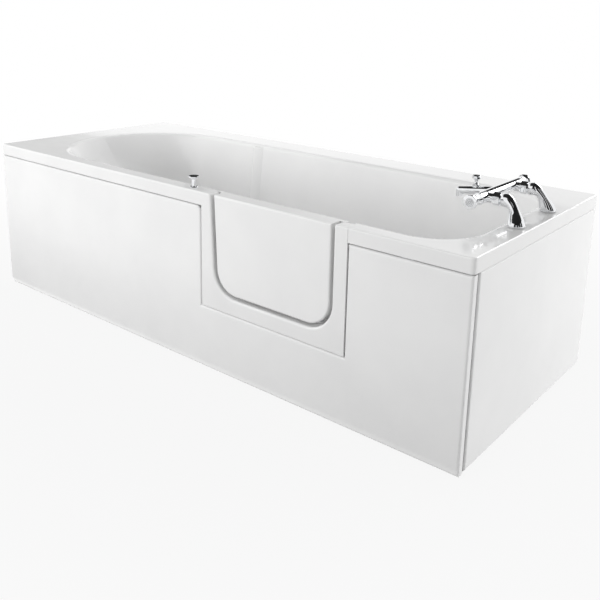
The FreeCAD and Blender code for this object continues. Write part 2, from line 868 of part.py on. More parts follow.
def front_panel_block(inset, y0):
    left = head_x + panel_set_back + inset
    right = panel_x - inset
    bottom = panel_floor_gap + inset
    top = panel_top - inset
    notch_left = jamb_x - notch_gap_lock_side - inset
    notch_right = open_right + surround_hinge_side + notch_gap_hinge_side + inset
    notch_bottom = sill_height - surround_below - notch_gap_below - inset
    corners = [
        (left, bottom),
        (right, bottom),
        (right, top),
        (notch_right, top),
        (notch_right, notch_bottom),
        (notch_left, notch_bottom),
        (notch_left, top),
        (left, top),
        (left, bottom),
    ]
    face = Part.Face(Part.makePolygon([vec(x, y0, z) for x, z in corners]))
    block = face.extrude(vec(0, panel_back_y - y0, 0))

    def across(edge, x, z):
        bounds = edge.BoundBox
        here = abs(bounds.XMin - x) < tolerance and abs(bounds.ZMin - z) < tolerance
        return here and bounds.YLength > panel_sheet

    block = rounded(block, panel_foot_round - inset, lambda edge: across(edge, left, bottom))
    block = rounded(block, notch_corner_round - inset, lambda edge: across(edge, notch_left, top))
    return rounded(block, panel_edge_round - inset, lambda edge: edge.BoundBox.YMax < y0 + tolerance)


front_panel_hollow = front_panel_block(panel_sheet, panel_y + panel_sheet)
save("front_panel", front_panel_block(0.0, panel_y).cut(front_panel_hollow))

# End panel: the same sheet at the tap end, pushed up close under the lip
end_panel_y0 = panel_back_y + panel_joint


def end_panel_block(inset, x1):
    block = box(
        panel_x - panel_depth,
        x1,
        end_panel_y0 + inset,
        back_y - panel_set_back - inset,
        panel_floor_gap + inset,
        end_panel_top - inset,
    )
    return rounded(block, panel_edge_round - inset, lambda edge: edge.BoundBox.XMin > x1 - tolerance)


save("end_panel", end_panel_block(0.0, panel_x).cut(end_panel_block(panel_sheet, panel_x - panel_sheet)))

# Joint strip behind the corner of the two panels
strip_x1 = panel_x - panel_sheet
joint_strip = joined(
    [
        box(strip_x1 - joint_strip_deep, strip_x1, panel_back_y, end_panel_y0, panel_floor_gap, panel_top),
        box(
            strip_x1 - joint_strip_thick,
            strip_x1,
            panel_y + panel_edge_round,
            panel_back_y,
            panel_floor_gap + panel_sheet,
            panel_top - panel_sheet,
        ),
    ]
)
save("panel_joint_strip", joint_strip)

# Panel clips: bent steel between the inside of the lip and the panels' top edges


def front_clip(x):
    x0 = x - clip_wide / 2
    x1 = x + clip_wide / 2
    lip_y = front_y + shell_wall
    foot_top = panel_top + clip_steel
    back = panel_back_y + clip_steel
    return joined(
        [
            box(x0, x1, lip_y, lip_y + clip_steel, panel_top, panel_top + clip_reach_up),
            box(x0, x1, lip_y, back, panel_top, foot_top),
            box(x0, x1, panel_back_y, back, panel_top - clip_reach_down, foot_top),
        ]
    )


def end_clip(y):
    y0 = y - clip_wide / 2
    y1 = y + clip_wide / 2
    lip_x = tap_x - shell_wall
    foot_top = end_panel_top + clip_steel
    panel_back = panel_x - panel_depth
    back = panel_back - clip_steel
    return joined(
        [
            box(lip_x - clip_steel, lip_x, y0, y1, end_panel_top, end_panel_top + clip_reach_up),
            box(back, lip_x, y0, y1, end_panel_top, foot_top),
            box(back, panel_back, y0, y1, end_panel_top - clip_reach_down, foot_top),
        ]
    )


clips = [front_clip(x) for x in (head_x + clip_from_end, (head_x + open_left) / 2, tap_x - clip_from_end)]
clips += [end_clip(y) for y in (front_y + clip_from_end, back_y - clip_from_end)]
save("panel_clips", group(clips))

# Base board under the flat of the floor, leg channels, feet and their fastenings
board_x0 = basin_head + backrest_lean + head_round_floor + board_from_floor_edge
board_x1 = waste_x - board_short_of_waste
board_y0 = basin_front + front_wall_lean + floor_round + board_from_floor_edge
board_y1 = basin_back - back_wall_lean - floor_round - board_from_floor_edge
board_z0 = floor_under - board_thick
channel_z0 = board_z0 - channel_tall
channel_y0 = front_y + channel_front_space
channel_y1 = back_y - channel_back_space
channel_places = {
    "head": board_x0 + channel_inset,
    "middle": (board_x0 + board_x1) / 2,
    "tap": board_x1 - channel_inset,
}
foot_rows = (channel_y0 + foot_inset, channel_y1 - foot_inset)
foot_places = [(x, y) for x in channel_places.values() for y in foot_rows]
nut_over_z = board_z0
nut_under_z = board_z0 - channel_steel - nut_thick
channel_screw_rows = (board_y0 + foot_inset, board_y1 - foot_inset)
channel_screw_places = [(x, y) for x in channel_places.values() for y in channel_screw_rows]


def channel_screw(x, y):
    head_z = board_z0 - channel_steel
    head = rod_z(2 * channel_screw_radius, head_z - screw_head_thick, head_z, x, y)
    return joined([head, rod_z(channel_screw_radius, head_z, head_z + channel_screw_long, x, y)])


channel_screws = group([channel_screw(x, y) for x, y in channel_screw_places])
save("base_board", box(board_x0, board_x1, board_y0, board_y1, board_z0, floor_under).cut(channel_screws))
save("channel_screws", channel_screws)

foot_studs = group(
    [
        rod_z(stud_radius, foot_thick - foot_socket, nut_over_z + nut_thick + stud_above_nut, x, y)
        for x, y in foot_places
    ]
)
save("foot_studs", foot_studs)
for place, x in channel_places.items():
    half = channel_wide / 2
    channel = box(x - half, x + half, channel_y0, channel_y1, channel_z0, board_z0)
    hollow = box(
        x - half + channel_steel,
        x + half - channel_steel,
        channel_y0,
        channel_y1,
        channel_z0,
        board_z0 - channel_steel,
    )
    save("leg_channel_" + place, channel.cut(hollow).cut(foot_studs).cut(channel_screws))

nuts = []
for x, y in foot_places:
    for z in (nut_over_z, nut_under_z):
        nut = hexagon(nut_flats, vec(x, y, z), vec(0, 0, 1), nut_thick)
        nuts.append(nut.cut(rod_z(stud_radius, z, z + nut_thick, x, y)))
save("foot_nuts", group(nuts))
foot_profile = [
    (0, 0),
    (foot_radius, 0),
    (foot_radius, foot_thick / 2),
    (nut_flats / 2, foot_thick),
    (0, foot_thick),
]
feet = [turned(foot_profile, vec(x, y, 0), vec(0, 0, 1)).cut(foot_studs) for x, y in foot_places]
save("foot_pads", group(feet))


def panel_stay(x):
    side = x + channel_wide / 2
    return joined(
        [
            box(side, side + stay_steel, panel_back_y, channel_y0 + stay_wide, channel_z0, board_z0),
            box(side, side + stay_wide, panel_back_y, panel_back_y + stay_steel, panel_floor_gap, board_z0),
        ]
    )


save("panel_stays", group([panel_stay(x) for x in channel_places.values()]))

# Wall brackets hooked behind the back lip


def wall_bracket(x):
    x0 = x - bracket_wide / 2
    x1 = x + bracket_wide / 2
    lip_y = back_y - shell_wall
    hook_y = lip_y - bracket_steel
    plate = joined(
        [
            box(x0, x1, back_y - bracket_steel, back_y, lip_bottom - bracket_below_lip, lip_bottom),
            box(x0, x1, hook_y, back_y, lip_bottom - bracket_steel, lip_bottom),
            box(x0, x1, hook_y, lip_y, lip_bottom - bracket_steel, rim_under),
        ]
    )
    hole_z = lip_bottom - bracket_hole_below_lip
    for hole_x in (x - bracket_hole_apart / 2, x + bracket_hole_apart / 2):
        plate = plate.cut(rod_y(bracket_hole_radius, back_y - bracket_steel, back_y, hole_x, hole_z))
    return plate


bracket_places = (head_x + bracket_from_end, tap_x - bracket_from_end)
save("wall_brackets", group([wall_bracket(x) for x in bracket_places]))

# Mixer body: a level bar with two bosses for the legs, two valve seats and a hose outlet below
bar = rod_y(bar_radius, -bar_end, bar_end, bar_x, bar_z)
boss_end = bar_x + bar_radius + boss_long
union_end = boss_end + union_long
collar_z = bar_z - bar_radius - hose_collar_long
outlet_z = collar_z - hose_outlet_long
mixer_pieces = [
    bar,
    rod_z(hose_collar_radius, collar_z, bar_z, bar_x, 0),
    rod_z(hose_outlet_radius, outlet_z, bar_z, bar_x, 0),
]
mixer_hollows = [rod_z(hose_outlet_bore, outlet_z, bar_z, bar_x, 0)]
for y in union_places:
    mixer_pieces.append(rod_x(boss_radius, bar_x, boss_end, y, bar_z))
    mixer_hollows.append(rod_x(boss_bore, bar_x, boss_end, y, bar_z))
mixer_hollows.append(rod_y(valve_bore, -bar_end, valve_deep - bar_end, bar_x, bar_z))
mixer_hollows.append(rod_y(valve_bore, bar_end - valve_deep, bar_end, bar_x, bar_z))
mixer_bounds = box(bar_x - bar_radius, boss_end, -bar_end, bar_end, outlet_z, bar_z + bar_radius)
mixer_outside = joined(mixer_pieces).common(mixer_bounds)
save("mixer_body", mixer_outside.cut(mixer_hollows))

# Mixer legs with their union nuts, deck gaskets, threaded tails and flanged backnuts


def leg_ring(radius, x, y, z, tip):
    """Circle across the leg, tipped about Y from facing up."""
    ring = Part.Wire(Part.makeCircle(radius))
    ring.Placement = FreeCAD.Placement(vec(x, y, z), FreeCAD.Rotation(vec(0, 1, 0), tip))
    return ring


leg_foot_z = rim_height + deck_gasket
plinth_z = leg_foot_z + leg_base_plinth
knee_x = leg_x - leg_lean
knee_z = bar_z - leg_bend
half_turn = math.sqrt(0.5)


def mixer_leg(union_y, foot_y):
    """Leg that bends down from its union and leans outwards to its foot, as far as it has dropped."""

    def splay(z):
        return union_y + (foot_y - union_y) * (bar_z - z) / (bar_z - plinth_z)

    bend_z = knee_z + leg_bend * half_turn
    shin_z = (knee_z + plinth_z) / 2
    bend_radius = (leg_top_radius + leg_knee_radius) / 2
    rings = [
        leg_ring(leg_top_radius, union_end, union_y, bar_z, 90),
        leg_ring(bend_radius, union_end + leg_reach * half_turn, splay(bend_z), bend_z, 135),
        leg_ring(leg_knee_radius, knee_x, splay(knee_z), knee_z, 180 - leg_tip),
        leg_ring(leg_shin_radius, (knee_x + leg_x) / 2, splay(shin_z), shin_z, 180 - leg_tip),
        leg_ring(leg_base_radius, leg_x, foot_y, plinth_z, 180),
    ]
    shin = Part.makeLoft(rings, True)
    spigot = rod_x(leg_top_radius, boss_end, union_end, union_y, bar_z)
    plinth = rod_z(leg_base_radius, leg_foot_z, plinth_z, leg_x, foot_y)
    return joined([spigot, shin, plinth])


def ring_z(outer, inner, z0, z1, x, y):
    return rod_z(outer, z0, z1, x, y).cut(rod_z(inner, z0, z1, x, y))


union_nuts = []
tails = []
gaskets = []
backnuts = []
backnut_z = rim_under - backnut_flange - backnut_thick
for side, union_y, y in zip(("front", "back"), union_places, leg_places):
    save("mixer_leg_" + side, mixer_leg(union_y, y))
    union = hexagon(union_flats, vec(boss_end, union_y, bar_z), vec(1, 0, 0), union_long)
    union_nuts.append(union.cut(rod_x(leg_top_radius, boss_end, union_end, union_y, bar_z)))
    thread = ring_z(tail_radius, tail_bore, rim_height - tail_below_deck, backnut_z, leg_x, y)
    shank = ring_z(tail_shank_radius, tail_bore, backnut_z, leg_foot_z, leg_x, y)
    tails.append(joined([thread, shank]))
    gaskets.append(ring_z(leg_base_radius - deck_gasket, tail_shank_radius, rim_height, leg_foot_z, leg_x, y))
    backnut = joined(
        [
            hexagon(backnut_flats, vec(leg_x, y, backnut_z), vec(0, 0, 1), backnut_thick),
            rod_z(backnut_flats / 2, rim_under - backnut_flange, rim_under, leg_x, y),
        ]
    )
    backnuts.append(backnut.cut(rod_z(tail_shank_radius, backnut_z, rim_under, leg_x, y)))
save("union_nuts", group(union_nuts))
save("inlet_tails", group(tails))
save("deck_gaskets", group(gaskets))
save("backnuts", group(backnuts))

# Valves, spindles, flared handles and index discs, one set at each end of the bar
for side, outward in (("front", -1), ("back", 1)):
    axis = vec(0, outward, 0)
    end = vec(bar_x, outward * bar_end, bar_z)
    valve_profile = [
        (spindle_radius + running_clearance, -valve_deep),
        (valve_bore, -valve_deep),
        (valve_bore, 0),
        (valve_nose_radius, 0),
        (valve_nose_radius, valve_nose),
        (spindle_radius + running_clearance, valve_nose),
    ]
    save("valve_" + side, turned(valve_profile, end, axis))

    handle_base = handle_gap
    nose_room = valve_nose + handle_gap
    socket = handle_base + handle_long / 2
    spindle_base = end + axis * -spindle_in_valve
    spindle = Part.makeCylinder(spindle_radius, spindle_in_valve + socket, spindle_base, axis)
    save("spindle_" + side, spindle)

    disc_start = handle_base + handle_long - handle_disc_thick
    handle_end = handle_base + handle_long
    skirt_top = handle_base + handle_disc_thick / 2
    waist = handle_base + handle_waist_from_base
    run_in = [
        vec(0, 0, socket),
        vec(spindle_radius, 0, socket),
        vec(spindle_radius, 0, nose_room),
        vec(valve_nose_radius + handle_gap, 0, nose_room),
        vec(valve_nose_radius + handle_gap, 0, handle_base),
        vec(handle_skirt_radius, 0, handle_base),
        vec(handle_skirt_radius, 0, skirt_top),
    ]
    run_out = [
        vec(handle_disc_radius, 0, disc_start),
        vec(handle_disc_radius, 0, handle_end - index_thick / 2),
        vec(handle_disc_radius - index_thick / 2, 0, handle_end),
        vec(index_radius, 0, handle_end),
        vec(index_radius, 0, handle_end - index_thick),
        vec(0, 0, handle_end - index_thick),
        vec(0, 0, socket),
    ]
    trumpet = flare(
        [
            (handle_skirt_radius, skirt_top),
            (handle_neck_radius, waist),
            ((handle_neck_radius + handle_disc_radius) / 2 - index_thick / 2, (waist + 2 * disc_start) / 3),
            (handle_disc_radius, disc_start),
        ]
    )
    handle = revolved([Part.makePolygon(run_in), trumpet, Part.makePolygon(run_out)], end, axis)
    save("handle_" + side, handle)
    disc_base = end + axis * (handle_end - index_thick)
    save("index_disc_" + side, Part.makeCylinder(index_radius, index_thick, disc_base, axis))

# Spout towards the basin with the diverter's boss on top, its aerator, and the pull-up diverter knob
tip_x = bar_x - spout_reach + spout_tip_radius
tip_z = bar_z - spout_droop
spout_root = vec(bar_x, 0, bar_z)
spout_run = vec(tip_x, 0, tip_z) - spout_root
spout_long = spout_run.Length
spout_side = flare(
    [
        (spout_root_radius, 0),
        (spout_root_radius - (spout_root_radius - spout_tip_radius) / 4, spout_long / 2),
        (spout_tip_radius, spout_long),
    ]
)
spout_nose = Part.Arc(
    vec(spout_tip_radius, 0, spout_long),
    vec(spout_tip_radius * math.sqrt(0.5), 0, spout_long + spout_tip_radius * math.sqrt(0.5)),
    vec(0, 0, spout_long + spout_tip_radius),
).toShape()
spout_ends = Part.makePolygon(
    [vec(0, 0, spout_long + spout_tip_radius), vec(0, 0, 0), vec(spout_root_radius, 0, 0)]
)
diverter_x = bar_x - diverter_reach
bush_top = bar_z + diverter_bush_above_axis
nozzle_z = tip_z - nozzle_drop
spout_outside = joined(
    [
        revolved([spout_side, spout_nose, spout_ends], spout_root, spout_run),
        rod_z(nozzle_radius, nozzle_z, tip_z, tip_x, 0),
        rod_z(diverter_bush_radius, bar_z, bush_top, diverter_x, 0),
    ]
)
waterway_radius = nozzle_radius - spout_wall
waterway = Part.makeCylinder(waterway_radius, spout_long, spout_root, spout_run)
nozzle_bore = rod_z(waterway_radius, nozzle_z, tip_z, tip_x, 0)
stem_bore = rod_z(diverter_stem_radius + sliding_clearance, tip_z, bush_top, diverter_x, 0)
save("spout", spout_outside.cut([mixer_outside, waterway, nozzle_bore, stem_bore]))
aerator = ring_z(waterway_radius, waterway_radius / 2, nozzle_z, nozzle_z + aerator_thick, tip_x, 0)
save("aerator", aerator)

diverter_stem_foot = -diverter_bush_above_axis - diverter_travel
knob_rim = diverter_knob_tall - diverter_rim_tall
knob_waist = diverter_foot_tall + diverter_waist_from_foot
knob_low = [
    vec(0, 0, diverter_stem_foot),
    vec(diverter_stem_radius, 0, diverter_stem_foot),
    vec(diverter_stem_radius, 0, sliding_clearance),
    vec(diverter_foot_radius, 0, sliding_clearance),
    vec(diverter_foot_radius, 0, diverter_foot_tall),
]
knob_high = [
    vec(diverter_head_radius, 0, knob_rim),
    vec(diverter_head_radius, 0, diverter_knob_tall - diverter_edge),
    vec(diverter_head_radius - diverter_edge, 0, diverter_knob_tall),
    vec(0, 0, diverter_knob_tall),
    vec(0, 0, diverter_stem_foot),
]
knob_side = flare(
    [
        (diverter_foot_radius, diverter_foot_tall),
        (diverter_waist_radius, knob_waist),
        (diverter_waist_radius + diverter_edge, (knob_waist + knob_rim) / 2),
        (diverter_head_radius, knob_rim),
    ]
)
knob_edges = [Part.makePolygon(knob_low), knob_side, Part.makePolygon(knob_high)]
save("diverter_knob", revolved(knob_edges, vec(diverter_x, 0, bush_top), vec(0, 0, 1)))

# Waste: flange in the floor with a bridge for the plug's stem, seal, body with tail and side socket, plug
sleeve_radius = waste_hole_radius - waste_sleeve_clearance
sleeve_z = floor_under - waste_seal_thick
flange_top = floor_top + waste_flange_thick
flange_profile = [
    (waste_throat_radius, sleeve_z),
    (sleeve_radius, sleeve_z),
    (sleeve_radius, floor_top),
    (waste_flange_radius, floor_top),
    (waste_flange_radius, floor_top + waste_flange_thick / 2),
    (waste_flange_radius - waste_flange_thick, flange_top),
    (waste_throat_radius, flange_top),
]
bridge_z = sleeve_z + waste_bridge
waste_flange = joined(
    [
        turned(flange_profile, vec(waste_x, waste_y, 0), vec(0, 0, 1)),
        box(
            waste_x - waste_throat_radius,
            waste_x + waste_throat_radius,
            waste_y - waste_bridge / 2,
            waste_y + waste_bridge / 2,
            sleeve_z,
            bridge_z,
        ),
        rod_z(waste_bush_radius, sleeve_z, bridge_z, waste_x, waste_y),
    ]
)
save(
    "waste_flange",
    waste_flange.cut(rod_z(plug_stem_radius + running_clearance, sleeve_z, bridge_z, waste_x, waste_y)),
)
save("waste_seal", ring_z(waste_body_radius, waste_hole_radius, sleeve_z, floor_under, waste_x, waste_y))

waste_body_z0 = sleeve_z - waste_body_tall
tail_end_z = waste_body_z0 - waste_tail_long
pipe_z = waste_body_z0 + waste_body_tall / 2
cable_y = waste_y + cable_beside_pipe
socket_x0 = waste_x + waste_body_radius
socket_x1 = socket_x0 + pipe_socket_long
socket_radius = pipe_radius + pipe_socket_wall
nipple_x1 = socket_x1 - cable_nipple_radius
waste_body = joined(
    [
        rod_z(waste_body_radius, waste_body_z0, sleeve_z, waste_x, waste_y),
        rod_z(waste_tail_radius, tail_end_z, waste_body_z0, waste_x, waste_y),
        rod_x(socket_radius, waste_x, socket_x1, waste_y, pipe_z),
        rod_x(cable_nipple_radius, waste_x, nipple_x1, cable_y, pipe_z),
    ]
)
waste_inner_radius = waste_body_radius - waste_body_wall
waste_hollow = [
    rod_z(waste_inner_radius, waste_body_z0 + waste_body_wall, sleeve_z, waste_x, waste_y),
    rod_z(waste_tail_bore, tail_end_z, sleeve_z, waste_x, waste_y),
    rod_x(pipe_bore, waste_x, socket_x1, waste_y, pipe_z),
    rod_x(pipe_radius, socket_x0, socket_x1, waste_y, pipe_z),
]
save("waste_body", waste_body.cut(waste_hollow))

plug_z = flange_top + sliding_clearance
plug_stem_foot = sleeve_z - plug_lift - plug_stem_spare
plug_profile = [
    (0, plug_stem_foot),
    (plug_stem_radius, plug_stem_foot),
    (plug_stem_radius, plug_z),
    (plug_radius, plug_z),
    (plug_radius, plug_z + plug_thick / 2),
    (plug_radius - plug_thick, plug_z + plug_thick),
    (0, plug_z + plug_thick),
]
save("waste_plug", turned(plug_profile, vec(waste_x, waste_y, 0), vec(0, 0, 1)))

# Overflow: face on the wet side, turning knob in front of it, seal and elbow behind the wall
spider = waste_bridge / 2
spider_from = -2 * waste_bridge
overflow_arm = Part.makeBox(2 * overflow_bore, waste_bridge, waste_bridge)
overflow_arm.translate(vec(-overflow_bore, -spider, 0))
overflow_arm.Placement = FreeCAD.Placement(
    overflow_centre + overflow_axis * spider_from, FreeCAD.Rotation(vec(0, 0, 1), overflow_axis)
).multiply(overflow_arm.Placement)
overflow_sleeve_radius = overflow_hole_radius - waste_sleeve_clearance
elbow_start = -shell_wall - overflow_seal_thick
overflow_face = joined(
    [
        along_overflow(overflow_face_radius, 0, overflow_face_thick),
        along_overflow(overflow_sleeve_radius, spider_from, 0),
    ]
).cut(along_overflow(overflow_bore, spider_from, overflow_face_thick))
overflow_face = joined(
    [overflow_face, overflow_arm, along_overflow(waste_bush_radius, spider_from, spider_from + waste_bridge)]
)
spindle_hole = along_overflow(spindle_radius + running_clearance, spider_from, overflow_face_thick)
save("overflow_face", overflow_face.cut(spindle_hole))

knob_start = overflow_face_thick + overflow_slit
overflow_knob_profile = [
    (0, spider_from),
    (spindle_radius, spider_from),
    (spindle_radius, knob_start),
    (overflow_knob_radius, knob_start),
    (overflow_knob_radius, knob_start + overflow_knob_thick / 2),
    (overflow_knob_radius - overflow_knob_thick / 2, knob_start + overflow_knob_thick),
    (0, knob_start + overflow_knob_thick),
]
save("overflow_knob", turned(overflow_knob_profile, overflow_centre, overflow_axis))
overflow_seal = along_overflow(overflow_face_radius, elbow_start, -shell_wall)
save("overflow_seal", overflow_seal.cut(along_overflow(overflow_hole_radius, elbow_start, -shell_wall)))

elbow_back = elbow_start - overflow_elbow_long
elbow_middle = overflow_centre + overflow_axis * ((elbow_start + elbow_back) / 2)
elbow_foot = elbow_middle.z - overflow_elbow_radius - pipe_socket_long
elbow_socket_z = elbow_middle.z - overflow_elbow_radius
overflow_elbow = joined(
    [
        along_overflow(overflow_face_radius, elbow_start - overflow_flange_thick, elbow_start),
        along_overflow(overflow_elbow_radius, elbow_back, elbow_start),
        rod_z(socket_radius, elbow_foot, elbow_middle.z, elbow_middle.x, waste_y),
        rod_z(cable_nipple_radius, elbow_foot, elbow_middle.z, elbow_middle.x, cable_y),
    ]
)
elbow_hollow = [
    along_overflow(overflow_hole_radius, elbow_back + overflow_flange_thick, elbow_start),
    rod_z(pipe_bore, elbow_foot, elbow_middle.z, elbow_middle.x, waste_y),
    rod_z(pipe_radius, elbow_foot, elbow_socket_z, elbow_middle.x, waste_y),
]
save("overflow_elbow", overflow_elbow.cut(elbow_hollow))


def drop_run(radius, y, top, end_x):
    """Round bar that drops from top beside the tap wall, bends once and runs level to end_x."""
    down = rod_z(radius, pipe_z + pipe_bend, top, elbow_middle.x, y)
    level = rod_x(radius, end_x, elbow_middle.x - pipe_bend, y, pipe_z)
    bend_centre = vec(elbow_middle.x - pipe_bend, y, pipe_z + pipe_bend)
    bend = Part.makeTorus(pipe_bend, radius, bend_centre, vec(0, 1, 0))
    reach = pipe_bend + 2 * radius
    quarter = box(
        elbow_middle.x - pipe_bend,
        elbow_middle.x - pipe_bend + reach,
        y - 2 * radius,
        y + 2 * radius,
        pipe_z + pipe_bend - reach,
        pipe_z + pipe_bend,
    )
    return joined([down, bend.common(quarter), level])


pipe = drop_run(pipe_radius, waste_y, elbow_socket_z, socket_x0)
save("overflow_pipe", pipe.cut(drop_run(pipe_bore, waste_y, elbow_socket_z, socket_x0)))
save("control_cable", drop_run(cable_radius, cable_y, elbow_foot, nipple_x1))
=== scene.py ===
import math

import bpy
import numpy as np
from mathutils import Matrix, Vector


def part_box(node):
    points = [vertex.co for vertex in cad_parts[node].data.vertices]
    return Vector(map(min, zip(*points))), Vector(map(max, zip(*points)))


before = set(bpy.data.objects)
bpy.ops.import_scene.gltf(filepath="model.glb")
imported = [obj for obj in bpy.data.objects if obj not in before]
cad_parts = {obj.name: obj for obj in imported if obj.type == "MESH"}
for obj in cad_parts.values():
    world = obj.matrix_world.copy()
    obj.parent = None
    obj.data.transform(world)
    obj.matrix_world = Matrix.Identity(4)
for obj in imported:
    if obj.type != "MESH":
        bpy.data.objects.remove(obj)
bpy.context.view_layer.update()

# Bath shell.
# One sheet of white cast acrylic, heated and drawn into a mould, so its wet side is glossy with a faint
# orange peel. The rim, the hanging lip, the basin and the door surround are one piece.
# Its hidden back is stiffened with sprayed glass fibre.


def node(owner, kind, **settings):
    """A node of that kind in the tree of a material or the world, with its settings."""
    made = owner.node_tree.nodes.new(kind)
    for key, value in settings.items():
        setattr(made, key, value)
    return made


def link(owner, source, target):
    owner.node_tree.links.new(source, target)


def shader_of(material):
    return material.node_tree.nodes["Principled BSDF"]


def finish(name, **constants):
    """A new node material. Constants go onto the shader's own sockets, underscores standing for spaces."""
    material = bpy.data.materials.new(name)
    material.use_nodes = True
    for socket, value in constants.items():
        shader_of(material).inputs[socket.replace("_", " ")].default_value = value
    return material


def grain(material, size, detail=2.0, stretch=(1.0, 1.0, 1.0)):
    """Noise in the piece's own metres: blotches about size across, drawn out along each axis by stretch."""
    place = node(material, "ShaderNodeTexCoord")
    mapping = node(material, "ShaderNodeMapping")
    mapping.inputs["Scale"].default_value = [1.0 / (size * s) for s in stretch]
    link(material, place.outputs["Object"], mapping.inputs["Vector"])
    noise = node(material, "ShaderNodeTexNoise")
    noise.inputs["Scale"].default_value = 1.0
    noise.inputs["Detail"].default_value = detail
    link(material, mapping.outputs["Vector"], noise.inputs["Vector"])
    return noise.outputs["Fac"]


# Nearly all of a noise's values lie between these two.
noise_low, noise_high = 0.3, 0.7


def ramp_between(material, source, dark, light, low, high):
    """A colour that runs from dark to light as the source goes from low to high."""
    ramp = node(material, "ShaderNodeValToRGB")
    for stop, position, colour in zip(ramp.color_ramp.elements, (low, high), (dark, light)):
        stop.position = position
        stop.color = (*colour, 1.0)
    link(material, source, ramp.inputs["Fac"])
    return ramp.outputs["Color"]


def tint(material, source, dark, light, low=noise_low, high=noise_high):
    """Base colour between dark and light."""
    colour = ramp_between(material, source, dark, light, low, high)
    link(material, colour, shader_of(material).inputs["Base Color"])


def spread(material, source, low, high):
    """A noise's range mapped to the values low to high."""
    span = node(material, "ShaderNodeMapRange")
    span.inputs["From Min"].default_value = noise_low
    span.inputs["From Max"].default_value = noise_high
    span.inputs["To Min"].default_value = low
    span.inputs["To Max"].default_value = high
    link(material, source, span.inputs["Value"])
    return span.outputs["Result"]


def polish(material, source, low, high):
    """Roughness between low and high."""
    link(material, spread(material, source, low, high), shader_of(material).inputs["Roughness"])


def relief(material, source, depth):
    """Bump of that depth in metres, laid over any bump already there."""
    normal = shader_of(material).inputs["Normal"]
    bump = node(material, "ShaderNodeBump")
    bump.inputs["Strength"].default_value = 1.0
    bump.inputs["Distance"].default_value = depth
    link(material, source, bump.inputs["Height"])
    if normal.is_linked:
        link(material, normal.links[0].from_socket, bump.inputs["Normal"])
    link(material, bump.outputs["Normal"], normal)


def paint(material, *names):
    """Gives the named CAD pieces this finish."""
    for name in names:
        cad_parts[name].material_slots[0].material = material


def gloss_acrylic(name, dark, light, peel):
    """White gloss sheet: faint clouds, wipe marks in the polish, orange peel, pores an eighth as deep."""
    material = finish(name, IOR=1.49, Coat_Weight=0.3, Coat_Roughness=0.03, Coat_IOR=1.49)
    clouds = grain(material, size=0.16, detail=3.0)
    wipe_marks = grain(material, size=0.03, detail=4.0, stretch=(3.0, 1.0, 1.0))
    dimples = grain(material, size=0.012)
    pores = grain(material, size=0.0012, detail=1.0)
    tint(material, clouds, dark, light)
    polish(material, wipe_marks, low=0.07, high=0.15)
    relief(material, dimples, depth=peel)
    relief(material, pores, depth=peel / 8)
    return material


def sum_of(owner, operation, first, second):
    """One sum on two values, each a socket or a number."""
    made = node(owner, "ShaderNodeMath", operation=operation)
    for slot, value in enumerate((first, second)):
        if isinstance(value, float):
            made.inputs[slot].default_value = value
        else:
            link(owner, value, made.inputs[slot])
    return made.outputs[0]


def overlay(material, socket, layer, mask):
    """Lays a colour or value over what the shader's socket has, where the mask is 1."""
    target = shader_of(material).inputs[socket]
    # The mix node keeps a set of sockets for each kind of value, told apart only by their place.
    kind, first, second, result = ("RGBA", 6, 7, 2) if socket == "Base Color" else ("FLOAT", 2, 3, 0)
    mix = node(material, "ShaderNodeMix", data_type=kind)
    if target.is_linked:
        link(material, target.links[0].from_socket, mix.inputs[first])
    else:
        mix.inputs[first].default_value = target.default_value
    link(material, layer, mix.inputs[second])
    link(material, mask, mix.inputs[0])
    link(material, mix.outputs[result], target)


def back_of_shell(material):
    """1 where the sheet faces out of the basin or down, behind the front and the lip, off the wall's rib."""
    (left, front, _), (right, back, top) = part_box("bath_shell")
    sheet = 0.006
    white_front = 0.11
    faces_out, faces_down, faces_aside = 0.02, -0.35, 0.06
    rib_from_head, rib_reach, rib_foot, rib_below_rim = 0.59, 0.04, 0.12, 0.014
    place = node(material, "ShaderNodeTexCoord")
    facing = node(material, "ShaderNodeSeparateXYZ")
    link(material, place.outputs["Normal"], facing.inputs[0])
    spot = node(material, "ShaderNodeSeparateXYZ")
    link(material, place.outputs["Object"], spot.inputs[0])

    def holds(value, side, limit):
        """1 where the value lies on that side of the limit."""
        return sum_of(material, side, value, limit)

    # How far the sheet faces away from the bath's upright axis, and from its long middle plane alone.
    lengthways = sum_of(material, "MULTIPLY", facing.outputs["X"], spot.outputs["X"])
    sideways = sum_of(material, "MULTIPLY", facing.outputs["Y"], spot.outputs["Y"])
    out = holds(sum_of(material, "ADD", lengthways, sideways), "GREATER_THAN", faces_out)
    down = holds(facing.outputs["Z"], "LESS_THAN", faces_down)

    # The rib's own sides face outward too, but inside the basin. So in a box round the rib, only what faces
    # straight back is kept.
    from_rib = sum_of(material, "SUBTRACT", spot.outputs["X"], left + rib_from_head)
    keep = holds(sum_of(material, "ABSOLUTE", from_rib, 0.0), "GREATER_THAN", rib_reach)
    off_rib = (
        holds(spot.outputs["Z"], "LESS_THAN", rib_foot),
        holds(spot.outputs["Z"], "GREATER_THAN", top - rib_below_rim),
        holds(sideways, "GREATER_THAN", faces_aside),
    )
    for other in off_rib:
        keep = sum_of(material, "MAXIMUM", keep, other)

    mask = sum_of(material, "MULTIPLY", sum_of(material, "MAXIMUM", out, down), keep)
    limits = (
        ("X", "GREATER_THAN", left + sheet),
        ("X", "LESS_THAN", right - sheet),
        ("Y", "GREATER_THAN", front + white_front),
        ("Y", "LESS_THAN", back - sheet),
        ("Z", "LESS_THAN", top - sheet),
    )
    for axis, side, limit in limits:
        mask = sum_of(material, "MULTIPLY", mask, holds(spot.outputs[axis], side, limit))
    return mask


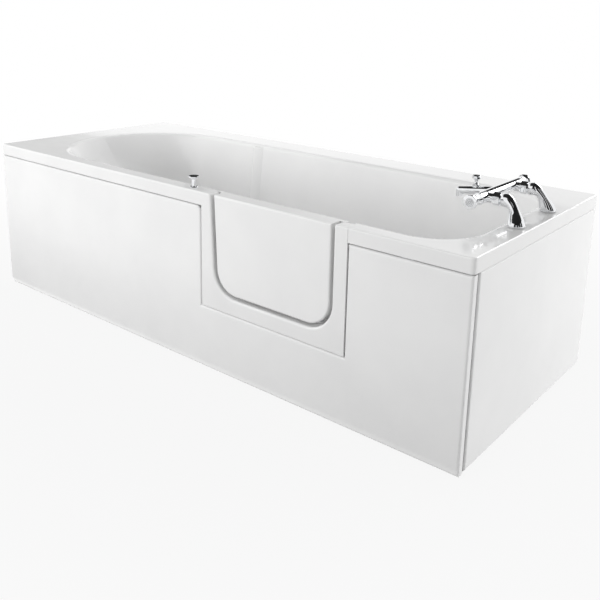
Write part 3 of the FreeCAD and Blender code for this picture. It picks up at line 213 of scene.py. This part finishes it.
def glass_fibre(material, mask):
    """Sprayed strands over the masked side: three lays of drawn-out noise, resin yellow, rough and lumpy."""
    lays = ((8.0, 1.0, 1.0), (1.0, 8.0, 1.0), (1.0, 1.0, 8.0))
    first, second, third = [grain(material, size=0.003, detail=3.0, stretch=lay) for lay in lays]
    strands = sum_of(material, "MAXIMUM", sum_of(material, "MAXIMUM", first, second), third)
    resin, fibre = (0.46, 0.44, 0.34), (0.70, 0.69, 0.60)
    colour = ramp_between(material, strands, resin, fibre, low=0.45, high=0.75)
    faint_coat = 0.05
    overlay(material, "Base Color", colour, mask)
    overlay(material, "Roughness", spread(material, strands, low=0.5, high=0.8), mask)
    overlay(material, "Coat Weight", sum_of(material, "MULTIPLY", strands, faint_coat), mask)
    relief(material, sum_of(material, "MULTIPLY", strands, mask), depth=0.0012)


shell_white = gloss_acrylic(
    "shell_acrylic", dark=(0.80, 0.80, 0.80), light=(0.835, 0.835, 0.832), peel=0.00006
)
glass_fibre(shell_white, back_of_shell(shell_white))
paint(shell_white, "bath_shell")

# Door.
# An acrylic tray and a flat inner leaf bonded round a block of foam, with a grey rubber seal round the
# leaf's edge. It hangs on two brushed steel hinges, and a steel strike for the lock's bolt is let into its
# lock side.
door_white = gloss_acrylic(
    "door_acrylic", dark=(0.81, 0.81, 0.81), light=(0.845, 0.845, 0.842), peel=0.00005
)
paint(door_white, "door_tray", "door_leaf")


def cells(material, size):
    """Voronoi cells about size across over the piece's own metres: their distances and colours."""
    place = node(material, "ShaderNodeTexCoord")
    pattern = node(material, "ShaderNodeTexVoronoi", feature="F1")
    pattern.inputs["Scale"].default_value = 1.0 / size
    link(material, place.outputs["Object"], pattern.inputs["Vector"])
    return pattern.outputs


foam = finish("door_foam", Roughness=0.9)
pores_and_painted_shade = cells(foam, size=0.0016)["Distance"]
# The pores' hollows are painted darker than the cell walls around them: painted shade in the pores.
tint(foam, pores_and_painted_shade, dark=(0.55, 0.48, 0.30), light=(0.86, 0.80, 0.60), low=0.1, high=0.7)
relief(foam, pores_and_painted_shade, depth=0.0004)
paint(foam, "door_core")


def moulded_rubber(name, dark, light):
    """Matt moulded rubber with a fine mould grain and a little bloom."""
    material = finish(name, IOR=1.5)
    tint(material, grain(material, size=0.02, detail=4.0), dark, light)
    polish(material, grain(material, size=0.006), low=0.62, high=0.82)
    relief(material, grain(material, size=0.0006), depth=0.00006)
    return material


seal_grey = moulded_rubber("seal_rubber", dark=(0.42, 0.42, 0.42), light=(0.52, 0.52, 0.52))
paint(seal_grey, "door_seal")

stainless = finish("brushed_stainless", Metallic=1.0)
brushing = grain(stainless, size=0.0006, stretch=(1.0, 1.0, 30.0))
tint(stainless, brushing, dark=(0.48, 0.48, 0.49), light=(0.66, 0.66, 0.67))
polish(stainless, brushing, low=0.24, high=0.42)
relief(stainless, brushing, depth=0.00003)
paint(stainless, "door_strike", "hinge_pins", "hinge_door_screws", "jamb_screws")
for height in ("lower", "upper"):
    paint(stainless, "hinge_jamb_leaf_" + height, "hinge_door_leaf_" + height)

# Lock.
# A turned brass knob on a brass collar, both chrome plated, stands on the rim. Below the rim its zinc
# plated rod drives the bolt sideways in a pressed case.
chrome = finish("chrome_plate", Metallic=1.0)
tint(chrome, grain(chrome, size=0.02, detail=3.0), dark=(0.83, 0.84, 0.86), light=(0.90, 0.91, 0.92))
polish(chrome, grain(chrome, size=0.008, detail=4.0), low=0.025, high=0.075)
relief(chrome, grain(chrome, size=0.01), depth=0.00001)
paint(chrome, "lock_knob", "lock_collar")


def zinc_plate(name):
    """Dull zinc plate: spangle of a few millimetres, softly uneven polish."""
    material = finish(name, Metallic=1.0)
    spangle = cells(material, size=0.005)["Color"]
    tint(material, spangle, dark=(0.44, 0.45, 0.47), light=(0.60, 0.61, 0.63), low=0.2, high=0.8)
    polish(material, grain(material, size=0.01, detail=4.0), low=0.32, high=0.5)
    relief(material, grain(material, size=0.0015), depth=0.00003)
    return material


zinc = zinc_plate("zinc_plate")
paint(zinc, "lock_rod", "lock_bolt", "lock_case")

# Panels.
# Two sheets of white acrylic with turned-in edges, stood under the lip on the front and the tap end.
# A grey strip backs the corner where they meet. Clips behind the lip and stays at the floor hold them.
panel_white = gloss_acrylic(
    "panel_acrylic", dark=(0.82, 0.82, 0.82), light=(0.855, 0.855, 0.853), peel=0.00004
)
paint(panel_white, "front_panel", "end_panel")

strip_grey = finish("joint_strip_plastic", IOR=1.46)
strip_clouds = grain(strip_grey, size=0.03, detail=4.0)
tint(strip_grey, strip_clouds, dark=(0.10, 0.10, 0.105), light=(0.15, 0.15, 0.155))
polish(strip_grey, grain(strip_grey, size=0.004), low=0.4, high=0.55)
relief(strip_grey, grain(strip_grey, size=0.0008), depth=0.00003)
paint(strip_grey, "panel_joint_strip")
paint(zinc, "panel_clips", "panel_stays")

# Base board, leg channels and feet.
# A pressed chip board is glassed to the basin's floor. Three zinc plated channels screwed to it carry
# threaded studs with lock nuts and black rubber pads. Two brackets hook the back lip to a wall.
chip_board = finish("chip_board", Roughness=0.7)
chips = cells(chip_board, size=0.006)
tint(chip_board, chips["Color"], dark=(0.36, 0.25, 0.14), light=(0.66, 0.52, 0.34), low=0.15, high=0.85)
polish(chip_board, grain(chip_board, size=0.01, detail=4.0), low=0.6, high=0.8)
relief(chip_board, chips["Distance"], depth=0.0003)
paint(chip_board, "base_board")
paint(zinc, "leg_channel_head", "leg_channel_middle", "leg_channel_tap", "wall_brackets")
paint(zinc, "foot_nuts", "channel_screws")


def thread(material, pitch):
    """Rolled thread: a ridge round the upright axis every pitch, a little over half a pitch deep."""
    # At scale 1 the wave node turns through this many radians a metre.
    wave_rate = 20.0
    depth_to_pitch = 0.6
    place = node(material, "ShaderNodeTexCoord")
    ridges = node(material, "ShaderNodeTexWave", bands_direction="Z")
    ridges.inputs["Scale"].default_value = math.tau / (wave_rate * pitch)
    link(material, place.outputs["Object"], ridges.inputs["Vector"])
    relief(material, ridges.outputs["Fac"], depth=pitch * depth_to_pitch)


stud_zinc = zinc_plate("stud_zinc_plate")
thread(stud_zinc, pitch=0.00175)
paint(stud_zinc, "foot_studs")
pad_black = moulded_rubber("foot_rubber", dark=(0.012, 0.012, 0.012), light=(0.03, 0.03, 0.03))
paint(pad_black, "foot_pads")

# Deck mixer.
# A chrome plated brass bar on two swept legs, with a flared handle at each end, a spout over the basin and
# a pull-up diverter. Bare brass valves, spindles, tails and backnuts are hidden in it and below the deck.
paint(chrome, "mixer_body", "mixer_leg_front", "mixer_leg_back", "union_nuts", "spout", "diverter_knob")
paint(chrome, "handle_front", "handle_back")
paint(seal_grey, "deck_gaskets")


def disc_rings(material, disc, pitch):
    """Moulded rings round the disc's level axis, one every pitch, 0 in the grooves and 1 on the ridges."""
    low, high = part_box(disc)
    place = node(material, "ShaderNodeTexCoord")
    across = node(material, "ShaderNodeVectorMath", operation="SUBTRACT")
    across.inputs[1].default_value = [(a + b) / 2 for a, b in zip(low, high)]
    link(material, place.outputs["Object"], across.inputs[0])
    flat = node(material, "ShaderNodeVectorMath", operation="MULTIPLY")
    flat.inputs[1].default_value = (1.0, 0.0, 1.0)
    link(material, across.outputs["Vector"], flat.inputs[0])
    radius = node(material, "ShaderNodeVectorMath", operation="LENGTH")
    link(material, flat.outputs["Vector"], radius.inputs[0])
    angle = sum_of(material, "MULTIPLY", radius.outputs["Value"], math.tau / pitch)
    wave = sum_of(material, "SINE", angle, 0.0)
    return sum_of(material, "ADD", sum_of(material, "MULTIPLY", wave, 0.5), 0.5)


index_silver = finish("index_plastic", Metallic=0.6, IOR=1.5)
rings_and_painted_groove_shade = disc_rings(index_silver, "index_disc_front", pitch=0.0036)
# The rings also colour the disc: painted shade in the grooves and a painted highlight on the ridges.
tint(index_silver, rings_and_painted_groove_shade, dark=(0.42, 0.43, 0.44), light=(0.78, 0.79, 0.80))
polish(index_silver, grain(index_silver, size=0.002), low=0.12, high=0.25)
relief(index_silver, rings_and_painted_groove_shade, depth=0.0004)
paint(index_silver, "index_disc_front", "index_disc_back")

aerator_grey = finish("aerator_plastic", IOR=1.46)
tint(aerator_grey, grain(aerator_grey, size=0.002), dark=(0.42, 0.42, 0.42), light=(0.55, 0.55, 0.55))
polish(aerator_grey, grain(aerator_grey, size=0.001), low=0.4, high=0.6)
paint(aerator_grey, "aerator")


def turned_brass(name):
    """Bare brass with the lathe's fine rings."""
    material = finish(name, Metallic=1.0)
    turning = grain(material, size=0.0007, stretch=(12.0, 12.0, 1.0))
    tarnish = grain(material, size=0.012, detail=3.0)
    tint(material, tarnish, dark=(0.58, 0.40, 0.16), light=(0.74, 0.56, 0.28))
    polish(material, turning, low=0.2, high=0.38)
    relief(material, turning, depth=0.00003)
    return material


plain_brass = turned_brass("machined_brass")
paint(plain_brass, "valve_front", "valve_back", "spindle_front", "spindle_back", "backnuts")
tail_brass = turned_brass("threaded_brass")
thread(tail_brass, pitch=0.001814)
paint(tail_brass, "inlet_tails")

# Waste and overflow.
# Chrome plated flange, plug, overflow face and turning knob on the wet side, on grey rubber seals.
# White plastic body, elbow and pipe behind, with a black sheathed cable from the knob to the plug.
paint(chrome, "waste_flange", "waste_plug", "overflow_face", "overflow_knob")
paint(seal_grey, "waste_seal", "overflow_seal")

pipe_white = finish("pipe_plastic", IOR=1.49)
tint(pipe_white, grain(pipe_white, size=0.05, detail=4.0), dark=(0.68, 0.68, 0.66), light=(0.77, 0.77, 0.75))
polish(pipe_white, grain(pipe_white, size=0.01), low=0.35, high=0.5)
relief(pipe_white, grain(pipe_white, size=0.002), depth=0.00004)
paint(pipe_white, "overflow_pipe", "overflow_elbow", "waste_body")

sheath_black = finish("cable_sheath", IOR=1.5)
sheath_clouds = grain(sheath_black, size=0.01, detail=4.0)
tint(sheath_black, sheath_clouds, dark=(0.012, 0.012, 0.013), light=(0.03, 0.03, 0.032))
polish(sheath_black, grain(sheath_black, size=0.003), low=0.4, high=0.6)
paint(sheath_black, "control_cable")

# Studio floor.
# A white sweep rolled out under the bath. The camera sees it as white, and it still takes the bath's soft
# shadow. Its own white light is a little weaker near the bath and whole a few paces away, so round the bath
# it is painted a shade greyer: painted shade on top of the real shadow.
floor_half = 9.0
floor_corners = np.array([(-1, -1, 0), (1, -1, 0), (1, 1, 0), (-1, 1, 0)]) * floor_half
floor_mesh = bpy.data.meshes.new("studio_floor")
floor_mesh.from_pydata(floor_corners.tolist(), [], [(0, 1, 2, 3)])
floor = bpy.data.objects.new("studio_floor", floor_mesh)
bpy.context.scene.collection.objects.link(floor)


def seen_directly(owner):
    """1 for rays that show the background itself: from the camera, off polished metal or through glass."""
    path = node(owner, "ShaderNodeLightPath")
    total = path.outputs["Is Camera Ray"]
    for other in ("Is Glossy Ray", "Is Transmission Ray"):
        total = sum_of(owner, "MAXIMUM", total, path.outputs[other])
    return total


def blend(owner, share, first, second, output):
    """Shows the first shader, and the second over it by its share."""
    mix = node(owner, "ShaderNodeMixShader")
    for slot, source in enumerate((share, first, second)):
        link(owner, source, mix.inputs[slot])
    link(owner, mix.outputs["Shader"], owner.node_tree.nodes[output].inputs["Surface"])


def smooth_step(owner, source, start, end, low, high):
    """Goes smoothly from low to high while the source goes from start to end."""
    step = node(owner, "ShaderNodeMapRange", interpolation_type="SMOOTHSTEP")
    step.inputs["From Min"].default_value = start
    step.inputs["From Max"].default_value = end
    step.inputs["To Min"].default_value = low
    step.inputs["To Max"].default_value = high
    link(owner, source, step.inputs["Value"])
    return step.outputs["Result"]


floor_white = finish("studio_floor_white", Roughness=0.9)
tint(floor_white, grain(floor_white, size=0.5), dark=(0.30, 0.30, 0.30), light=(0.32, 0.32, 0.32))
glow = node(floor_white, "ShaderNodeEmission")
glow.inputs["Strength"].default_value = 1.0
floor_place = node(floor_white, "ShaderNodeTexCoord")
from_middle = node(floor_white, "ShaderNodeVectorMath", operation="LENGTH")
link(floor_white, floor_place.outputs["Object"], from_middle.inputs[0])
# Painted shade: the glow is weaker near the bath, so the floor reads a little greyer there even where it is
# lit.
glow_share_painted_shade = smooth_step(floor_white, from_middle.outputs["Value"], start=0.6, end=2.6, low=0.90, high=1.0)
white_share = sum_of(floor_white, "MULTIPLY", seen_directly(floor_white), glow_share_painted_shade)
shaded = shader_of(floor_white).outputs["BSDF"]
blend(floor_white, white_share, shaded, glow.outputs["Emission"], "Material Output")
floor_mesh.materials.append(floor_white)

# Studio light.
# A white room that fills the shadows, with soft boxes in front, beyond the head end, low at the tap end
# and behind. Black boards beside the camera, overhead, behind and on the floor give the polished pieces
# something dark to mirror.
world = bpy.data.worlds.new("studio_room")
world.use_nodes = True
bpy.context.scene.world = world
fill = world.node_tree.nodes["Background"]
fill.inputs["Color"].default_value = (1.0, 1.0, 1.0, 1.0)
fill.inputs["Strength"].default_value = 0.50
backdrop = node(world, "ShaderNodeBackground")
backdrop.inputs["Color"].default_value = (1.0, 1.0, 1.0, 1.0)
backdrop.inputs["Strength"].default_value = 1.0
backdrop_share = seen_directly(world)
blend(world, backdrop_share, fill.outputs["Background"], backdrop.outputs["Background"], "World Output")


def soft_box(spot, place, aim, size, power):
    """A lamp of that width and height at place, facing aim. Polished surfaces don't mirror it."""
    lamp = bpy.data.lights.new("soft_box_" + spot, "AREA")
    lamp.shape = "RECTANGLE"
    lamp.size, lamp.size_y = size
    lamp.energy = power
    stand = bpy.data.objects.new("soft_box_" + spot, lamp)
    stand.location = place
    stand.rotation_euler = (Vector(aim) - Vector(place)).to_track_quat("-Z", "Y").to_euler()
    stand.visible_glossy = False
    bpy.context.scene.collection.objects.link(stand)
    return stand


soft_box("front", place=(-0.9, -2.8, 0.8), aim=(-0.2, -0.3, 0.3), size=(1.6, 1.0), power=37.0)
soft_box("front_high", place=(-0.4, -2.6, 2.6), aim=(-0.1, 0.1, 0.35), size=(1.6, 1.0), power=17.0)
soft_box("head_end", place=(-3.0, -0.7, 2.5), aim=(-0.2, -0.1, 0.4), size=(1.4, 1.0), power=27.0)
soft_box("tap_end", place=(2.6, 1.9, 0.4), aim=(0.85, 0.2, 0.3), size=(1.6, 0.7), power=36.0)
soft_box("tap_corner", place=(2.9, -0.4, 0.5), aim=(0.85, 0.0, 0.25), size=(1.4, 0.7), power=8.0)
soft_box("behind_left", place=(-1.6, 2.0, 1.5), aim=(-0.2, -0.1, 0.45), size=(1.6, 1.0), power=28.0)
# This one is mirrored: it draws the bright line along the rim's edge and the glints on the deck.
behind_box = soft_box("behind", place=(1.0, 2.4, 1.9), aim=(0.2, 0.0, 0.45), size=(1.5, 1.2), power=24.0)
behind_box.visible_glossy = True


def dark_card(spot, corners, black):
    """A board that only polished surfaces mirror: it casts no shadow and the camera doesn't see it."""
    board_mesh = bpy.data.meshes.new("dark_card_" + spot)
    board_mesh.from_pydata(corners, [], [(0, 1, 2, 3)])
    board_mesh.materials.append(black)
    board = bpy.data.objects.new("dark_card_" + spot, board_mesh)
    board.visible_camera = False
    board.visible_diffuse = False
    board.visible_shadow = False
    bpy.context.scene.collection.objects.link(board)


def level(left, right, front, back, height):
    """The four corners of a level board."""
    return [(left, front, height), (right, front, height), (right, back, height), (left, back, height)]


def upright(start, end, low, high):
    """The four corners of an upright board over the floor line from start to end."""
    return [(*start, low), (*end, low), (*end, high), (*start, high)]


def matt_black(name):
    """Black card, a little uneven."""
    black = finish(name, Roughness=0.9)
    tint(black, grain(black, size=0.05), dark=(0.010, 0.010, 0.010), light=(0.016, 0.016, 0.016))
    return black


card_black = matt_black("card_black")
dark_card("overhead", level(left=-1.5, right=3.4, front=-2.4, back=1.6, height=2.6), card_black)

# Tall boards round the camera and the tap end, each as the floor line under it.
board_foot, board_top = 0.1, 3.4
floor_lines = {
    "camera_left": ((0.3, -3.2), (1.7, -2.6)),
    "camera_right": ((2.0, -2.4), (2.9, -1.5)),
    "tap_corner": ((3.05, -1.3), (3.6, -0.2)),
    "tap_side": ((3.65, 0.0), (3.8, 1.1)),
}
for spot, (start, end) in floor_lines.items():
    dark_card(spot, upright(start, end, board_foot, board_top), card_black)

# Small boards behind the bath, for the black stripe on the bar, the diverter's top and the lock knob's top.
behind_y = 2.2
dark_card("behind_mixer", upright((-0.15, behind_y), (0.9, behind_y), low=1.25, high=1.75), card_black)
dark_card("behind_diverter", upright((-0.46, behind_y), (-0.3, behind_y), low=1.04, high=1.12), card_black)
dark_card("behind_knob", upright((-2.79, behind_y), (-2.58, behind_y), low=1.29, high=1.41), card_black)


def fading_black(name, axis, clear, full, most):
    """Card black whose cover grows by a smooth step along one axis, from none at clear to most at full."""
    black = matt_black(name)
    board_place = node(black, "ShaderNodeTexCoord")
    along = node(black, "ShaderNodeSeparateXYZ")
    link(black, board_place.outputs["Object"], along.inputs[0])
    cover = smooth_step(black, along.outputs[axis], start=clear, end=full, low=0.0, high=most)
    link(black, cover, shader_of(black).inputs["Alpha"])
    return black


# A board that greys the rim towards the head end, and one on the floor that greys the front panel's foot.
far_y, far_left, far_right = 2.25, -8.0, -0.7
far_black = fading_black("behind_left_card_black", "X", clear=far_right, full=-1.9, most=0.6)
dark_card("behind_left", upright((far_left, far_y), (far_right, far_y), low=1.15, high=board_top), far_black)
floor_black = fading_black("floor_card_black", "Y", clear=-0.95, full=-0.38, most=1.0)
dark_card("floor", level(left=-1.8, right=1.4, front=-1.0, back=-0.37, height=0.002), floor_black)

# Camera.
# Stands off the tap end's front corner, about half a metre over the rim, looking down along the front.
# Its frame is shifted down, so that the bath stands where the photograph has it.
camera_place = Vector((1.4465, -1.6252, 0.942))
heading = math.radians(-38.962)
dip = math.radians(13.757)
roll = math.radians(1.268)
ahead = Vector((math.sin(heading) * math.cos(dip), math.cos(heading) * math.cos(dip), -math.sin(dip)))
level_right = ahead.cross(Vector((0, 0, 1))).normalized()
level_up = level_right.cross(ahead)
right = math.cos(roll) * level_right + math.sin(roll) * level_up
up = math.cos(roll) * level_up - math.sin(roll) * level_right
lens = bpy.data.cameras.new("studio_camera")
lens.lens = 45.2
lens.sensor_width = 36.0
lens.shift_y = -0.1833
camera = bpy.data.objects.new("studio_camera", lens)
turn = Matrix((right, up, -ahead)).transposed().to_4x4()
camera.matrix_world = Matrix.Translation(camera_place) @ turn
bpy.context.scene.collection.objects.link(camera)
bpy.context.scene.camera = camera
bpy.context.scene.view_settings.view_transform = "Standard"
